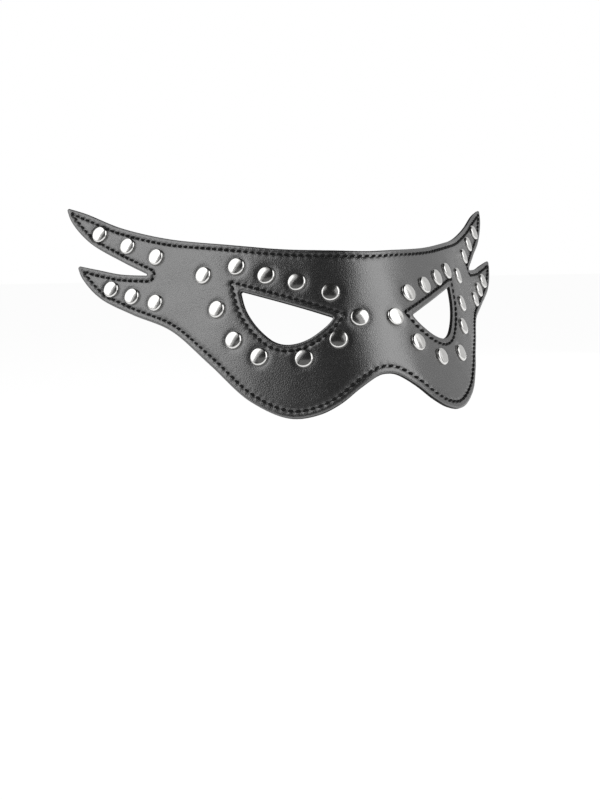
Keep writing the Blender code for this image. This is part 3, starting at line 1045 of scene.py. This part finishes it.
# %% Riding on the body
for piece, slot in [(face, "leather"), (lining, "lining")]:
    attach(piece, "root")
for piece in stitching:
    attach(piece, "root")
for piece in rivet_pieces:
    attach(piece, "root")

# %% [markdown]
# ## Floor, light and camera
# The mask is worn in the picture, so the floor lies well below it, where a display head
# would stand. Glossy black and nickel show nothing but what they reflect. Softboxes on
# both sides give the leather its sheen and the rivets their white. The main two are pairs,
# a bright box inside a wider dim one, which softens their edges, and a narrow strip adds
# light on the nearer wing. A dark gap beside the camera keeps the middle of the mask deep
# black, and one dim low box lifts it a little.

# %% Floor
FLOOR_LEVEL, FLOOR_SIZE = -0.165, 14

bpy.ops.object.select_all(action="DESELECT")
bpy.ops.mesh.primitive_plane_add(size=FLOOR_SIZE, location=(0, 0, FLOOR_LEVEL))
floor = bpy.context.object
floor.name = "pale_floor"
floor_finish = Finish(
    "pale_floor", Specular_IOR_Level=0.0, Emission_Color=(1, 1, 1, 1), Emission_Strength=0.97
)
speckle = floor_finish.noise(floor_finish.object_mm(), 0.02, 2.0)
floor.data.materials.append(floor_finish.wear(
    Base_Color=floor_finish.blend(speckle, (0.11, 0.11, 0.11), (0.12, 0.12, 0.12)),
    Roughness=0.8 + speckle * 0.1,
))

# %% Softboxes
LIGHT_DISTANCE = 1.2
MASK_CENTRE = Vector((0, 0.03, 0.03))
SOFTBOXES = [
    # name, azimuth, elevation, width and height as angles, radiance
    ("right_side_wide", -105, 30, 64, 70, 0.36),
    ("right_side", -103, 31, 42, 50, 1.08),
    ("right_strip", -88, 32, 15, 32, 0.55),
    ("front_left_wide", 42, 30, 84, 68, 0.33),
    ("front_left", 41, 34, 46, 56, 1.6),
    ("left_side", 112, 24, 66, 60, 0.62),
    ("front_low", -30, 10, 70, 36, 0.12),
]


def softbox(name, azimuth, elevation, wide, high, radiance):
    """A square-edged light. Azimuth 0 is in front, and 90 on the wearer's left."""
    a, e = math.radians(azimuth), math.radians(elevation)
    way = Vector((math.sin(a) * math.cos(e), -math.cos(a) * math.cos(e), math.sin(e)))
    data = bpy.data.lights.new(name, "AREA")
    data.shape = "RECTANGLE"
    data.size = 2 * LIGHT_DISTANCE * math.tan(math.radians(wide) / 2)
    data.size_y = 2 * LIGHT_DISTANCE * math.tan(math.radians(high) / 2)
    data.energy = radiance * math.pi * data.size * data.size_y
    light = bpy.data.objects.new(name, data)
    bpy.context.collection.objects.link(light)
    light.location = MASK_CENTRE + way * LIGHT_DISTANCE
    light.rotation_euler = way.to_track_quat("Z", "Y").to_euler()
    light.visible_camera = False
    print(name, f"{data.energy:.0f} W")


for name, *numbers in SOFTBOXES:
    softbox(f"softbox_{name}", *numbers)

# %% [markdown]
# The room itself is nearly dark, so that only the softboxes show in the reflections. The
# camera sees a white backdrop in its place, which the pale floor runs into.

# %% Room and backdrop
ROOM_STRENGTH = 0.018

world = bpy.data.worlds.new("studio")
bpy.context.scene.world = world
world.use_nodes = True
tree = world.node_tree
room = tree.nodes["Background"]
room.inputs["Color"].default_value = (1.0, 1.0, 1.0, 1.0)
room.inputs["Strength"].default_value = ROOM_STRENGTH
backdrop = tree.nodes.new("ShaderNodeBackground")
backdrop.inputs["Color"].default_value = (1.0, 1.0, 1.0, 1.0)
seen = tree.nodes.new("ShaderNodeLightPath")
choice = tree.nodes.new("ShaderNodeMixShader")
tree.links.new(seen.outputs["Is Camera Ray"], choice.inputs[0])
tree.links.new(room.outputs[0], choice.inputs[1])
tree.links.new(backdrop.outputs[0], choice.inputs[2])
tree.links.new(choice.outputs[0], tree.nodes["World Output"].inputs["Surface"])
bpy.context.scene.view_settings.view_transform = "Standard"
print("room strength", ROOM_STRENGTH)

# %% Camera
CAMERA_YAW = math.radians(19.159)
CAMERA_PITCH = math.radians(8.130)
CAMERA_ROLL = math.radians(-0.540)
CAMERA_PLACE = (-0.17720, -0.40805, 0.02767)
FOCAL_PIXELS, PHOTO_HEIGHT, SENSOR = 1027.2, 800, 36

data = bpy.data.cameras.new("camera")
data.sensor_fit = "VERTICAL"
data.sensor_height = SENSOR
data.lens = FOCAL_PIXELS * SENSOR / PHOTO_HEIGHT
camera = bpy.data.objects.new("camera", data)
bpy.context.collection.objects.link(camera)
yaw = Matrix.Rotation(-CAMERA_YAW, 4, "Z")
pitch = Matrix.Rotation(math.pi / 2 - CAMERA_PITCH, 4, "X")
roll = Matrix.Rotation(CAMERA_ROLL, 4, "Z")
camera.matrix_world = Matrix.Translation(CAMERA_PLACE) @ (yaw @ pitch) @ roll
bpy.context.scene.camera = camera
print(f"camera lens {data.lens:.1f} mm")
